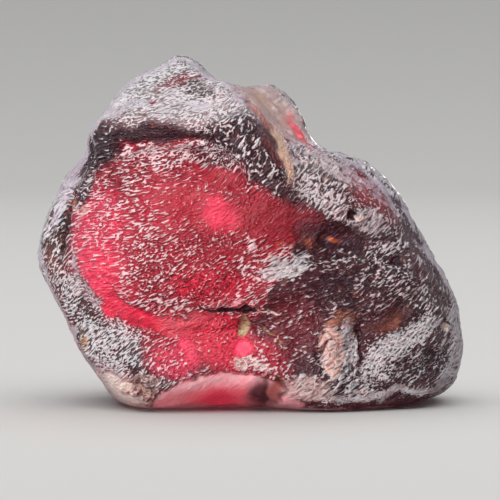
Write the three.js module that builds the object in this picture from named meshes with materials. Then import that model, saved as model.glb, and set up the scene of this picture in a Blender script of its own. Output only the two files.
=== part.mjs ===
// A rough pyrope garnet: one natural piece of stone, broken and etched, that stands on its underside.
// Lengths are in millimetres and +Z is up. The origin is on the surface that it stands on, below its middle.
// X runs across the stone. Y runs through it, from the etched front at -Y to the back at +Y.
import * as THREE from "three";
import { ImprovedNoise } from "three/addons/math/ImprovedNoise.js";
import { mergeVertices } from "three/addons/utils/BufferGeometryUtils.js";

// Driving dimensions
const middleHeight = 9.9; // of the point that every broken face is measured from
const frontReach = 7.2; // from the middle to the front face
const backReach = 7.4; // from the middle to the back face
const rimTaper = 0.11; // share of the outline that is lost halfHull away from the stone's widest section
const halfHull = 6.5;
const baseRound = 0.6; // rounding where the underside meets the sides
const meshDetail = 21; // 20 (detail + 1)^2 triangles
const meshSpread = new THREE.Vector3(1.15, 0.8, 1.0); // evens the triangles out over the stone's shape
const meshShift = new THREE.Vector3(0, -0.16, 0); // towards the etched front, which has the most to show
const furthestSkin = 22; // from the middle, past every corner of the stone
const relaxShare = 0.45; // how far a vertex moves to the middle of its neighbours
const relaxRounds = 1;

const middle = new THREE.Vector3(0, 0, middleHeight);

// The outline seen from the front: x and z of its corners in turn, from the peak round by the right.
const outlineCorners = [
  [-4.3, 22.9],
  [-3.0, 21.5],
  [-1.9, 20.6],
  [0.2, 20.8],
  [2.0, 21.0],
  [2.9, 19.9],
  [3.5, 18.4],
  [4.2, 16.8],
  [5.3, 16.2],
  [7.3, 15.6],
  [8.8, 14.5],
  [10.2, 12.8],
  [11.2, 10.8],
  [12.1, 9.1],
  [13.1, 7.1],
  [13.9, 5.0],
  [14.0, 3.6],
  [13.4, 2.4],
  [13.3, 1.6],
  [12.2, 0.6],
  [9.9, -0.6],
  [5.0, -1.4],
  [0.0, -1.8],
  [-5.0, -1.7],
  [-7.8, -0.3],
  [-9.3, 1.0],
  [-10.4, 2.7],
  [-11.7, 4.9],
  [-13.0, 7.2],
  [-14.0, 9.1],
  [-14.1, 10.0],
  [-13.4, 12.1],
  [-12.7, 13.7],
  [-11.6, 15.2],
  [-10.7, 16.2],
  [-10.1, 17.6],
  [-9.6, 18.6],
  [-8.5, 19.9],
  [-7.3, 21.1],
  [-5.8, 22.0],
];

// Each broken face: the way it looks, how far it is from the middle, and how softly it meets the others.
const brokenFaces = [
  { name: "front", looks: [-0.06, -0.99, 0.08], reach: frontReach, round: 1.4 },
  { name: "peak slope", looks: [-0.1, -0.62, 0.78], reach: 10.65, round: 0.5 },
  { name: "left brow", looks: [-0.62, -0.5, 0.6], reach: 12.5, round: 1.0 },
  { name: "left rim", looks: [-0.8, -0.6, 0.04], reach: 12.5, round: 1.2 },
  { name: "left shelf", looks: [-0.52, -0.85, 0.06], reach: 9.0, round: 0.8 },
  { name: "right front", looks: [0.34, -0.93, 0.1], reach: 7.9, round: 1.4 },
  { name: "shoulder", looks: [0.44, -0.52, 0.73], reach: 8.6, round: 0.8 },
  { name: "pale facet", looks: [0.565, -0.32, 0.76], reach: 8.4, round: 0.25 },
  { name: "right end", looks: [0.86, -0.5, 0.1], reach: 12.3, round: 1.0 },
  { name: "right foot", looks: [0.3, -0.72, -0.62], reach: 12.7, round: 0.4 },
  { name: "back", looks: [0.1, 0.98, 0.14], reach: backReach, round: 1.0 },
  { name: "back slope", looks: [-0.16, 0.7, 0.7], reach: 10.9, round: 0.6 },
  { name: "back left", looks: [-0.74, 0.64, 0.2], reach: 10.6, round: 0.8 },
  { name: "back right", looks: [0.68, 0.72, 0.1], reach: 10.9, round: 0.8 },
  { name: "back chip", looks: [0.5, 0.62, 0.6], reach: 9.6, round: 0.3 },
  { name: "back foot", looks: [-0.15, 0.84, -0.52], reach: 9.7, round: 0.6 },
];

// Swellings and hollows: where each is, its size along X, Y and Z, how it is turned in the
// front view, how far it rises, and how flat its top is (1 is a plain round hill).
const swellings = [
  { name: "cushion", at: [-5.0, -7, 10.5], size: [7.2, 7, 5.5], turn: 4, rise: 1.1, flat: 2.2 },
  { name: "cushion crown", at: [-5.0, -7, 13.3], size: [3.2, 6, 1.9], turn: 10, rise: 0.4, flat: 1 },
  { name: "left swell", at: [-9.0, -6, 9.1], size: [2.2, 5, 2.4], turn: 0, rise: 0.45, flat: 1 },
  { name: "shoulder lump", at: [6.0, -6, 13.7], size: [3.9, 5, 1.9], turn: -32, rise: 0.75, flat: 1.6 },
  { name: "knuckle", at: [0.1, -6, 16.1], size: [2.7, 5, 1.9], turn: -46, rise: 0.55, flat: 1.5 },
  { name: "centre saddle", at: [-1.2, -7, 11.9], size: [1.8, 6, 2.0], turn: -30, rise: -0.35, flat: 1 },
  { name: "dark hollow", at: [5.8, -6, 10.4], size: [5.0, 5, 1.5], turn: -6, rise: -0.8, flat: 1 },
  { name: "middle swell", at: [4.4, -6, 8.3], size: [4.2, 5, 1.5], turn: 10, rise: 0.5, flat: 1.3 },
  { name: "right flank", at: [10.2, -5, 8.9], size: [2.4, 5, 1.9], turn: -30, rise: 0.4, flat: 1 },
  { name: "umber hollow", at: [8.9, -5, 5.7], size: [3.0, 5, 1.1], turn: 32, rise: -0.85, flat: 1.1 },
  { name: "slant ridge", at: [9.0, -5, 3.7], size: [4.4, 5, 1.4], turn: 42, rise: 0.75, flat: 1.1 },
  { name: "foot hollow", at: [10.6, -5, 2.1], size: [2.6, 5, 0.9], turn: 30, rise: -0.35, flat: 1 },
  { name: "peach swell", at: [5.3, -6, 3.9], size: [1.1, 5, 2.9], turn: -6, rise: 0.55, flat: 1.2 },
  { name: "lower scoop", at: [-1.1, -6.5, -0.9], size: [4.5, 4.5, 2.7], turn: 0, rise: -1.2, flat: 2.2 },
  { name: "pit hollow", at: [-0.4, -7, 5.1], size: [1.7, 5, 1.3], turn: 0, rise: -0.7, flat: 1 },
  { name: "shelf", at: [-8.6, -5, 3.2], size: [3.4, 5, 1.35], turn: -22, rise: 0.95, flat: 1.3 },
  { name: "low cushion", at: [-4.0, -6, 2.7], size: [2.9, 5, 1.3], turn: 12, rise: 0.4, flat: 1.3 },
  { name: "corner lump", at: [-7.2, -4.5, 0.9], size: [1.8, 3, 1.3], turn: 20, rise: 0.6, flat: 1.2 },
  { name: "peak dish", at: [-3.2, -3, 19.7], size: [3.0, 4, 1.1], turn: -12, rise: -0.3, flat: 1 },
  { name: "facet dish", at: [1.2, -1, 19.5], size: [1.8, 3, 1.1], turn: -30, rise: -0.2, flat: 1 },
  { name: "back scoop", at: [-3.0, 7, 11.5], size: [4.6, 5, 4.0], turn: 20, rise: -1.1, flat: 1.8 },
  { name: "back swell", at: [5.6, 6, 6.5], size: [4.0, 5, 3.2], turn: -20, rise: 0.8, flat: 1.4 },
  { name: "back ledge", at: [-7.6, 6, 5.1], size: [3.0, 5, 2.4], turn: 35, rise: 0.6, flat: 1.6 },
  { name: "back dimple", at: [3.4, 6, 14.1], size: [2.4, 4, 1.8], turn: 0, rise: -0.7, flat: 1.2 },
  { name: "end dimple", at: [13, 1.5, 4.5], size: [3, 2.4, 1.8], turn: 0, rise: -0.5, flat: 1 },
];

// Ridges and grooves: the side of the stone that each is on (-1 is the front and 1 is the back),
// x and z of the line that it follows, its half width and its rise.
const creases = [
  {
    name: "brow groove",
    side: -1,
    line: [[-11.6, 14.9], [-9.8, 16.1], [-7.6, 16.8], [-5.0, 17.1], [-2.8, 16.9]],
    halfWidth: 1.1,
    rise: -0.7,
  },
  {
    name: "brow edge",
    side: -1,
    line: [[-10.4, 17.1], [-7.4, 18.2], [-4.0, 18.3], [-1.2, 18.5]],
    halfWidth: 0.9,
    rise: 0.4,
  },
  {
    name: "side groove",
    side: -1,
    line: [[-11.3, 13.9], [-11.9, 11.9], [-12.2, 9.9], [-11.6, 7.9]],
    halfWidth: 0.7,
    rise: -0.6,
  },
  {
    name: "lower groove",
    side: -1,
    line: [[-10.6, 6.9], [-9.2, 5.8], [-7.6, 5.1], [-5.6, 4.7], [-3.4, 4.6]],
    halfWidth: 0.8,
    rise: -0.6,
  },
  {
    name: "long ridge",
    side: -1,
    line: [[-1.8, 20.5], [0.2, 18.9], [1.7, 16.8], [2.7, 14.7]],
    halfWidth: 0.9,
    rise: 0.8,
  },
  { name: "gully", side: -1, line: [[1.8, 18.4], [2.9, 16.4], [3.2, 14.1]], halfWidth: 0.8, rise: -0.8 },
  {
    name: "crest",
    side: -1,
    line: [[0.8, 7.7], [2.8, 8.7], [4.8, 9.5], [6.4, 9.9]],
    halfWidth: 0.8,
    rise: 0.45,
  },
  { name: "crevice", side: -1, line: [[6.9, 5.3], [6.8, 3.7], [6.7, 1.7]], halfWidth: 0.6, rise: -0.6 },
  {
    name: "foot rim",
    side: -1,
    line: [[5.8, 0.6], [9.2, 0.6], [11.4, 1.2], [12.8, 2.7], [13.0, 4.5]],
    halfWidth: 0.7,
    rise: 0.3,
  },
  {
    name: "back ridge",
    side: 1,
    line: [[-2.2, 20.0], [-3.6, 16.4], [-4.4, 12.2], [-3.8, 8.2]],
    halfWidth: 1.0,
    rise: 0.5,
  },
  {
    name: "back groove",
    side: 1,
    line: [[9.4, 12.0], [6.0, 9.6], [3.4, 6.4], [2.6, 2.6]],
    halfWidth: 0.9,
    rise: -0.6,
  },
  {
    name: "back ledge edge",
    side: 1,
    line: [[-11.4, 8.6], [-8.8, 7.2], [-6.0, 6.8], [-3.6, 5.4]],
    halfWidth: 0.8,
    rise: 0.45,
  },
];
const creaseFade = 2.5; // depth over which a crease dies out towards the other side

// Etching: scaly wrinkles that run a different way in each part of the stone.
const etchZones = [
  { name: "left", turn: 12, at: [-8, -5, 10], spread: 8 },
  { name: "right shoulder", turn: 58, at: [7, -4, 14], spread: 6 },
  { name: "right foot", turn: 24, at: [8, -4, 4], spread: 7 },
  { name: "back", turn: -35, at: [0, 8, 11], spread: 9 },
];
const etchLong = 3.0; // length of a wrinkle
const etchWide = 1.5; // from one wrinkle to the next
const etchRise = 0.34;
const unevenSize = 5.5; // of the broad unevenness below the etching
const unevenRise = 0.32;

const noise = new ImprovedNoise();
const radians = THREE.MathUtils.degToRad;

// The larger of two distances, with the corner between them rounded over a width of round.
function softMax(a, b, round) {
  const near = Math.max(round - Math.abs(a - b), 0) / round;
  return Math.max(a, b) + (near * near * round) / 4;
}

// The outline's radius from the middle, for evenly spaced angles in the front view.
function outlineRadii(steps) {
  const corners = outlineCorners.map(([x, z]) => new THREE.Vector3(x, 0, z - middleHeight));
  const curve = new THREE.CatmullRomCurve3(corners, true, "centripetal");
  const fine = curve.getPoints(steps * 4);
  const radii = new Array(steps).fill(0);
  for (const point of fine) {
    const turn = Math.atan2(point.z, point.x) / (2 * Math.PI) + 1;
    const step = Math.round(turn * steps) % steps;
    radii[step] = Math.max(radii[step], Math.hypot(point.x, point.z));
  }
  // A step that no point fell in takes the last one's radius.
  for (let step = 0; step < steps; step += 1) {
    if (radii[step] === 0) radii[step] = radii[(step + steps - 1) % steps];
  }
  return radii;
}

const radii = outlineRadii(360);

function outlineRadius(x, z) {
  const place = ((Math.atan2(z, x) / (2 * Math.PI) + 1) % 1) * radii.length;
  const step = Math.floor(place);
  const next = radii[(step + 1) % radii.length];
  return THREE.MathUtils.lerp(radii[step % radii.length], next, place - step);
}

// How far a point is outside the outline, which draws in towards the front and the back.
function outsideRim(point) {
  const x = point.x;
  const z = point.z - middleHeight;
  const away = point.y / halfHull;
  return Math.hypot(x, z) - outlineRadius(x, z) * (1 - rimTaper * away * away);
}

function swellingAt(point, { at, size, turn, rise, flat }) {
  const x = point.x - at[0];
  const z = point.z - at[2];
  const cos = Math.cos(radians(turn));
  const sin = Math.sin(radians(turn));
  const along = (x * cos + z * sin) / size[0];
  const across = (z * cos - x * sin) / size[2];
  const deep = (point.y - at[1]) / size[1];
  return rise * Math.exp(-((along * along + across * across + deep * deep) ** flat));
}

function distanceToLine(x, z, line) {
  let least = Infinity;
  for (let i = 1; i < line.length; i += 1) {
    const [ax, az] = line[i - 1];
    const [bx, bz] = line[i];
    const dx = bx - ax;
    const dz = bz - az;
    const share = THREE.MathUtils.clamp(((x - ax) * dx + (z - az) * dz) / (dx * dx + dz * dz), 0, 1);
    least = Math.min(least, Math.hypot(x - ax - share * dx, z - az - share * dz));
  }
  return least;
}

function creaseAt(point, { side, line, halfWidth, rise }) {
  const away = distanceToLine(point.x, point.z, line) / halfWidth;
  const onSide = THREE.MathUtils.smoothstep(point.y * side, 0, creaseFade);
  return rise * onSide * Math.exp(-away * away);
}

function etchingAt(point) {
  let sum = 0;
  let weights = 0;
  for (const { turn, at, spread } of etchZones) {
    const away = Math.hypot(point.x - at[0], point.y - at[1], point.z - at[2]) / spread;
    const weight = Math.exp(-away * away);
    const cos = Math.cos(radians(turn));
    const sin = Math.sin(radians(turn));
    const along = (point.x * cos + point.z * sin) / etchLong;
    const across = (point.z * cos - point.x * sin) / etchWide;
    // A folded noise has sharp crests and round troughs, as etched scales do.
    const fold = 1 - 2 * Math.abs(noise.noise(along, across, point.y / etchWide));
    sum += weight * (fold - 0.5);
    weights += weight;
  }
  return (etchRise * sum) / weights;
}

function unevenAt(point) {
  return unevenRise * noise.noise(point.x / unevenSize + 3, point.y / unevenSize, point.z / unevenSize);
}

// Above zero outside the stone and below zero inside it.
function outsideStone(point) {
  const fromMiddle = point.clone().sub(middle);
  let outside = outsideRim(point);
  for (const face of brokenFaces) {
    const looks = new THREE.Vector3(...face.looks).normalize();
    outside = softMax(outside, looks.dot(fromMiddle) - face.reach, face.round);
  }
  for (const swelling of swellings) outside -= swellingAt(point, swelling);
  for (const crease of creases) outside -= creaseAt(point, crease);
  outside -= etchingAt(point) + unevenAt(point);
  return softMax(outside, -point.z, baseRound);
}

// The stone's skin along one direction from its middle, found by halving.
function skinPoint(direction) {
  let inner = 0;
  let outer = furthestSkin;
  for (let halving = 0; halving < 22; halving += 1) {
    const reach = (inner + outer) / 2;
    if (outsideStone(middle.clone().addScaledVector(direction, reach)) > 0) outer = reach;
    else inner = reach;
  }
  const point = middle.clone().addScaledVector(direction, inner);
  if (Math.abs(point.z) < 1e-3) point.z = 0; // the underside is truly flat
  return point;
}

// The vertices that share a triangle with each vertex.
function neighboursOf(geometry) {
  const around = Array.from({ length: geometry.getAttribute("position").count }, () => new Set());
  const corners = geometry.index.array;
  for (let i = 0; i < corners.length; i += 3) {
    for (const [a, b] of [[0, 1], [1, 2], [2, 0]]) {
      around[corners[i + a]].add(corners[i + b]);
      around[corners[i + b]].add(corners[i + a]);
    }
  }
  return around;
}

// Moves each vertex a share of the way to the middle of its neighbours. The flat underside stays flat.
function relax(geometry, share, rounds) {
  const position = geometry.getAttribute("position");
  const around = neighboursOf(geometry);
  for (let round = 0; round < rounds; round += 1) {
    const before = position.clone();
    for (let i = 0; i < position.count; i += 1) {
      const own = new THREE.Vector3().fromBufferAttribute(before, i);
      const mean = new THREE.Vector3();
      for (const j of around[i]) mean.add(new THREE.Vector3().fromBufferAttribute(before, j));
      mean.divideScalar(around[i].size);
      const moved = own.clone().lerp(mean, share);
      position.setXYZ(i, moved.x, moved.y, own.z === 0 ? 0 : moved.z);
    }
  }
}

function makeStone() {
  const ball = new THREE.IcosahedronGeometry(1, meshDetail);
  ball.deleteAttribute("normal");
  ball.deleteAttribute("uv");
  const geometry = mergeVertices(ball, 1e-5);
  const position = geometry.getAttribute("position");
  for (let i = 0; i < position.count; i += 1) {
    const direction = new THREE.Vector3().fromBufferAttribute(position, i);
    const point = skinPoint(direction.multiply(meshSpread).add(meshShift).normalize());
    position.setXYZ(i, point.x, point.y, point.z);
  }
  relax(geometry, relaxShare, relaxRounds);
  geometry.computeBoundingBox();
  const boxMiddle = geometry.boundingBox.getCenter(new THREE.Vector3());
  geometry.translate(-boxMiddle.x, -boxMiddle.y, 0);
  geometry.computeVertexNormals();
  const material = new THREE.MeshStandardMaterial({ color: 0x7d1228, roughness: 0.32, metalness: 0 });
  const stone = new THREE.Mesh(geometry, material);
  stone.name = "garnet";
  return stone;
}

const part = new THREE.Group();
part.add(makeStone());

export default part;
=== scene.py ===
import math

import bmesh
import bpy
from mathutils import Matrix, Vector, noise


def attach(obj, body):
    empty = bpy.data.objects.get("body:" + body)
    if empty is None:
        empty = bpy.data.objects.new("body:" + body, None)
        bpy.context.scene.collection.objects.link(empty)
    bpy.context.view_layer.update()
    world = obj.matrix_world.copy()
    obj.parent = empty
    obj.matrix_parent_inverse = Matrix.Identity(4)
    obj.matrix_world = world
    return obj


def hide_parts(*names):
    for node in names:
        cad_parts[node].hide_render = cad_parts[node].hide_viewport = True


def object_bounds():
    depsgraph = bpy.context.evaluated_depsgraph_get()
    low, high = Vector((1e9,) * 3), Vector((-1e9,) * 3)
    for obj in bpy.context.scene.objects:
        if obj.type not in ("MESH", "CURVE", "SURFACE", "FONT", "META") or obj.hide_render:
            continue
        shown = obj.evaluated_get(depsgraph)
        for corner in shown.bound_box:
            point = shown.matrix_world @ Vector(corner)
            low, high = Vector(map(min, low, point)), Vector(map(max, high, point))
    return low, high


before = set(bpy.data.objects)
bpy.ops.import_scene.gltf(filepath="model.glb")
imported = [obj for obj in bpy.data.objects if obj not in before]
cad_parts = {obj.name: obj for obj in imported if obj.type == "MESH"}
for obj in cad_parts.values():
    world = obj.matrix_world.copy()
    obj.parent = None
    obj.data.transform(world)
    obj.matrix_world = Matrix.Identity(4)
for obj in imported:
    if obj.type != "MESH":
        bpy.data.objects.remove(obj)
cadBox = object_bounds()
scene = bpy.context.scene
mm = 0.001
print("frame loaded")


# camera and light

view = {
    "aim": (0, 0, 9.9 * mm),  # the middle of the stone
    "distance": 200 * mm,
    "elevation": 3,
    "lens": 220,
    "sensor": 36,
}

lights = [
    {"name": "keyBox", "at": (-60, -120, 104), "size": (60, 45), "watts": 0.39, "tint": (1.0, 0.99, 0.98)},
    {"name": "topBox", "at": (20, 60, 150), "size": (110, 60), "watts": 0.16, "tint": (0.97, 0.98, 1.0)},
    {"name": "glowBox", "at": (6, 120, 16), "size": (50, 30), "watts": 0.02, "tint": (1.0, 0.97, 0.95),
     "spread": 60},
    {"name": "leftStrip", "at": (-150, 30, 45), "size": (40, 90), "watts": 0.1, "tint": (0.94, 0.95, 1.0)},
    {"name": "lowBox", "at": (-50, -150, 22), "size": (100, 40), "watts": 0.19, "tint": (1.0, 0.99, 0.98)},
    {"name": "rightStrip", "at": (150, 30, 45), "size": (40, 90), "watts": 0.15, "tint": (0.94, 0.95, 1.0)},
]

studio = {
    "radius": 420 * mm,  # where the floor starts to rise
    "bend": 180 * mm,
    "height": 500 * mm,
    "steps": (20, 96),  # up the bend and round the floor
    "colour": (0.70, 0.69, 0.67),
    "roughness": 0.9,
    "sky": 2.8,  # strength of the even light on the floor
    "skySpread": 100,
    "world": (0.80, 0.84, 0.90),
    "worldStrength": 0.1,
}


def turnTowards(obj, target):
    direction = Vector(target) - obj.location
    obj.rotation_mode = "QUATERNION"
    obj.rotation_quaternion = direction.to_track_quat("-Z", "Y")


def addCamera():
    data = bpy.data.cameras.new("photoView")
    data.lens = view["lens"]
    data.sensor_width = view["sensor"]
    data.clip_start = 10 * mm
    camera = bpy.data.objects.new("photoView", data)
    scene.collection.objects.link(camera)
    tilt = math.radians(view["elevation"])
    away = Vector((0, -math.cos(tilt), math.sin(tilt))) * view["distance"]
    camera.location = Vector(view["aim"]) + away
    turnTowards(camera, view["aim"])
    scene.camera = camera


def addLight(spec):
    data = bpy.data.lights.new(spec["name"], "AREA")
    data.shape = "RECTANGLE"
    data.size, data.size_y = [side * mm for side in spec["size"]]
    data.energy = spec["watts"]
    data.color = spec["tint"]
    data.spread = math.radians(spec.get("spread", 180))
    lamp = bpy.data.objects.new(spec["name"], data)
    lamp.visible_camera = False
    scene.collection.objects.link(lamp)
    lamp.location = [side * mm for side in spec["at"]]
    turnTowards(lamp, view["aim"])
    return lamp


def lightOnly(lamp, target):
    group = bpy.data.collections.new(lamp.name + "Target")
    group.objects.link(target)
    lamp.light_linking.receiver_collection = group


def addFloorLight(floor):  # even from wall to wall, with a soft shadow under the stone
    data = bpy.data.lights.new("floorSky", "SUN")
    data.energy = studio["sky"]
    data.angle = math.radians(studio["skySpread"])
    lamp = bpy.data.objects.new("floorSky", data)
    scene.collection.objects.link(lamp)
    lightOnly(lamp, floor)


def addWorld():
    world = bpy.data.worlds.new("studioAir")
    scene.world = world
    world.use_nodes = True
    background = world.node_tree.nodes["Background"]
    background.inputs["Color"].default_value = (*studio["world"], 1)
    background.inputs["Strength"].default_value = studio["worldStrength"]
    scene.view_settings.view_transform = "Standard"


def addNode(tree, kind, settings=(), inputs=()):
    node = tree.nodes.new(kind)
    for key, value in dict(settings).items():
        setattr(node, key, value)
    for key, value in dict(inputs).items():
        if isinstance(value, bpy.types.NodeSocket):
            tree.links.new(value, node.inputs[key])
        else:
            node.inputs[key].default_value = value
    return node


def addFloor():
    shape = bmesh.new()
    radius, bend = studio["radius"], studio["bend"]
    bendSteps, roundSteps = studio["steps"]
    ends = [shape.verts.new((x, 0, 0)) for x in (0, radius)]
    shape.edges.new(ends)
    grown = bmesh.ops.spin(shape, geom=ends[1:], cent=(radius, 0, bend), axis=(0, -1, 0),
                           angle=math.radians(90), steps=bendSteps)["geom_last"]
    top = [part for part in grown if isinstance(part, bmesh.types.BMVert)]
    grown = bmesh.ops.extrude_vert_indiv(shape, verts=top)["verts"]
    bmesh.ops.translate(shape, verts=grown, vec=(0, 0, studio["height"] - bend))
    profile = [*shape.verts, *shape.edges]
    bmesh.ops.spin(shape, geom=profile, cent=(0, 0, 0), axis=(0, 0, 1), angle=math.radians(360),
                   steps=roundSteps, use_merge=True)
    bmesh.ops.remove_doubles(shape, verts=shape.verts, dist=0.01 * mm)
    bmesh.ops.recalc_face_normals(shape, faces=shape.faces)
    mesh = bpy.data.meshes.new("paleFloor")
    shape.to_mesh(mesh)
    shape.free()
    mesh.shade_smooth()
    floor = bpy.data.objects.new("paleFloor", mesh)
    scene.collection.objects.link(floor)
    paint = bpy.data.materials.new("palePaper")
    paint.use_nodes = True
    surface = paint.node_tree.nodes["Principled BSDF"]
    surface.inputs["Base Color"].default_value = (*studio["colour"], 1)
    surface.inputs["Roughness"].default_value = studio["roughness"]
    mesh.materials.append(paint)
    floor.visible_diffuse = False  # keeps the paper's light off the stone, so that its darks stay deep
    return floor


addCamera()
addWorld()
lamps = [addLight(spec) for spec in lights]
addFloorLight(addFloor())
print("studio ready")


# the stone's shape, in millimetres

stone = {
    "node": "garnet",
    "slot": "pyrope",
    "seed": 3,  # settles how the edges stray, the same in each run
    "cuts": 3,  # of each edge of the CAD mesh
    "smoothing": (8, 0.5),  # rounds of it, and how strong
    "tiny": 0.001,  # a share, height or distance that counts as none
    "lift": 0.002,  # keeps the rest of the stone off the resting face
    "skirt": 0.7,  # height over which the relief fades out above the underside
    "edge": 0.4,  # softness of a patch's edge, in half widths, where the patch names none
    "wander": 0.5,  # how far the edges of the patches stray
    "wanderWaves": ((0.9, 0.7), (2.7, 0.25)),  # in two waves: how many to the millimetre, and their share
    "grooveWander": (1.3, 0.25),  # and how the grooves do
    "markWander": (1.7, 0.5),  # and how unround the pits and warts are
    "crestFrostAndGlint": 2.0,  # how much more frost the crests carry, with its painted glint
    "frontEnds": (0.5, 4.0),  # where the patches of the front fade into those of the back
    "fray": (0.35, 3.0),  # how that edge strays
    "backEnds": (1.0, 4.0),  # where the grooves and swells of the back begin
    "swell": (0.25, 0.7),  # undulations of the back: how many to the millimetre, and how high
    "leastFacing": 0.3,  # keeps the etching's direction steady where the surface turns away
    "sideLean": Vector((0, 0.5, 0)),  # how the etching leans on the sides
    "sideEnds": (0.1, 0.45),  # how far the surface faces front or back where that lean ends
    "leastRun": 0.5,  # keeps the dashes from growing too long on the front
    "frontTurn": (0.1, 0.4),  # how far the surface faces front where that begins
    "bend": (0.45, 0.8),  # waves in the rows of scales: how many to the millimetre, and how far
    "scaleDepth": 0.7,  # how short the scales are from front to back
    "fold": (2.4, 0.45),  # how sharp their crests are, and how much of them lies under the surface
    "layerGap": 17,  # keeps the layers of scales apart in the noise
    "faint": 0.01,  # flows felt less than this are left out
    "ground": {  # the look where no patch lies: its middle and how far it drifts
        "frostAndGlint": (0.45, 0.5),
        "etch": (0.9, 0.5),
        "grain": (1, 0.4),
        "dash": (0.75, 0.5),
        "scarlet": (0.0, 0.3),  # drift over which crimson turns scarlet
        "plum": (-0.2, 0.1),  # and over which it turns plum
        "zone": 4.5,  # size of the areas that it drifts in
        "gap": 30,  # keeps the drifts apart in the noise
    },
    "belt": {  # the worn outline, which turns away from the front, pale partly from wear and partly from a painted rim highlight
        "front": (-0.55, -0.32),  # how far the surface faces front where it begins
        "back": (-0.1, 0.15),  # and where it ends
        "lean": 0.18,  # how much narrower it is at the right
        "leanEnds": (7, 11),
        "waves": 0.7,  # to the millimetre, in its wear
        "worn": (-0.55, -0.1),
    },
    "felt": 3,  # reach of grooves and marks, in half widths or radii
    "grooveStain": (0.7, 1.5),  # where their stain ends
    "markStain": (0.9, 1.25),
    "bareTop": (0.45, 0.75),  # where it begins on a wart
    "moat": (0.5, 1.25, 0.3),  # round a wart: share of its rise, middle and half width
    "scales": [  # etched scales: length, width, rise
        (2.2, 0.95, 0.13),
        (1.1, 0.42, 0.09),
        (0.62, 0.30, 0.06),
    ],
    "flows": [  # how the etching runs: angle in the front view, a place and its reach
        (14, (-5, -3, 20), 4.0),
        (9, (-9, -6, 12), 4.5),
        (32, (-4, -7, 9), 3.5),
        (45, (-8, -6, 3), 3.0),
        (58, (-0.5, -6, 17), 2.2),
        (-10, (0.7, -6, 15), 1.2),
        (55, (6, -5, 14), 4.0),
        (15, (5, -6, 8), 3.5),
        (36, (9, -5, 3.5), 4.0),
        (-35, (2, 8, 11), 3.5),
        (25, (8, 6, 13), 4.0),
        (-60, (-6, 8, 14), 4.0),
        (75, (-9, 6, 6), 4.0),
        (8, (-1, 8, 4), 3.5),
        (-20, (8, 8, 5), 4.0),
        (40, (-1, 6, 19), 4.0),
        (80, (13, 0, 8), 4.0),
        (65, (-13, 0, 10), 4.0),
    ],
}

tones = {
    "crimson": (0.55, 0.014, 0.045),
    "scarlet": (0.88, 0.025, 0.075),
    # glow: partly the stone's own red, partly painted glow of light shining through it
    "glow": (1.0, 0.05, 0.13),
    "blood": (0.34, 0.014, 0.028),
    "wine": (0.20, 0.012, 0.022),
    "plum": (0.055, 0.016, 0.024),
    "nearBlack": (0.020, 0.010, 0.017),
    "slate": (0.10, 0.085, 0.095),
    "ash": (0.20, 0.18, 0.19),
    "lilac": (0.22, 0.15, 0.21),
    "lavender": (0.50, 0.44, 0.52),
    # rose: partly painted glow, brightening faces that turn into shade
    "rose": (1.0, 0.30, 0.36),
    "rust": (0.50, 0.13, 0.045),
    "umber": (0.05, 0.016, 0.012),
    "clay": (0.42, 0.17, 0.10),
    "liver": (0.05, 0.012, 0.012),
    "ochre": (0.50, 0.30, 0.16),
    "olive": (0.55, 0.47, 0.26),
    "sand": (0.82, 0.57, 0.40),
    "ivory": (0.98, 0.90, 0.82),
    "peach": (0.80, 0.53, 0.45),
    "blush": (0.97, 0.56, 0.60),
    "brick": (0.30, 0.085, 0.075),
    "cream": (0.86, 0.76, 0.68),
    "chalk": (0.70, 0.52, 0.47),
    "chalkGrey": (0.33, 0.31, 0.32),
    "shell": (0.52, 0.40, 0.37),
}

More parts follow.
